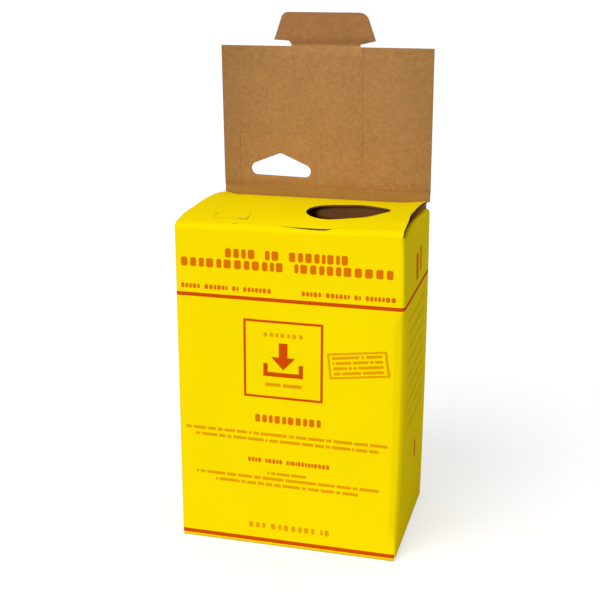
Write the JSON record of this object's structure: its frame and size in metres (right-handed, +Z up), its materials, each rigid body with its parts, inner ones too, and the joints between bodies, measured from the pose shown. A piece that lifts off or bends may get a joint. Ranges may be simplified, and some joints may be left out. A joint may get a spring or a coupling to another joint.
{
  "type": "cardboard sharps container",
  "caption": "Upright cardboard sharps box with a crowned top, a drop opening, a fold-over lid with a lock tongue, and a hand-hold panel at the back.",
  "frame": {"origin": "middle of the base, on the floor", "axes": "+X to the right seen from the front, +Y from the front to the back, +Z up"},
  "size_m": [0.2, 0.14, 0.4678],
  "materials": {
    "printed_board": "corrugated board printed yellow outside, plain kraft inside",
    "lid_board": "plain kraft face of the lid, printed yellow on its other side",
    "kraft_board": "plain kraft",
    "liner_board": "plain kraft liner",
    "pad_board": "plain stiff kraft pad"
  },
  "bodies": {
    "carton": {"front_wall": "printed_board", "right_wall": "printed_board", "back_wall": "printed_board", "left_wall": "printed_board", "glue_flap": "kraft_board", "top_fold": "printed_board", "top_panel": "printed_board", "top_tuck_flap": "kraft_board", "left_dust_flap": "printed_board", "right_dust_flap": "printed_board", "bottom_panel": "printed_board", "bottom_tuck_flap": "kraft_board", "left_bottom_flap": "printed_board", "right_bottom_flap": "printed_board", "base_pad": "pad_board", "liner_front": "liner_board", "liner_right": "liner_board", "liner_back": "liner_board", "liner_left": "liner_board"},
    "lid": {"lid_panel": "lid_board"},
    "tongue": {"lid_tongue": "lid_board"},
    "hand_hold": {"hand_hold_panel": "lid_board"},
    "push_flap": {"push_in_flap": "printed_board"}
  },
  "joints": [
    {"name": "lid_fold", "type": "hinge", "parent": "carton", "child": "lid", "pos_m": [0, 0.0696, 0.305], "axis": [1, 0, 0], "range_deg": [-120, 87.2]},
    {"name": "tongue_fold", "type": "hinge", "parent": "lid", "child": "tongue", "pos_m": [0, 0.06444, 0.43931], "axis": [1, 0, 0], "range_deg": [-30, 91]},
    {"name": "hand_hold_fold", "type": "hinge", "parent": "carton", "child": "hand_hold", "pos_m": [-0.0435, 0.0696, 0.305], "axis": [1, 0, 0], "range_deg": [-120, 87.2]},
    {"name": "push_flap_fold", "type": "hinge", "parent": "carton", "child": "push_flap", "pos_m": [-0.0545, -0.04095, 0.30118], "axis": [1, 0, 0], "range_deg": [0, 75]}
  ]
}
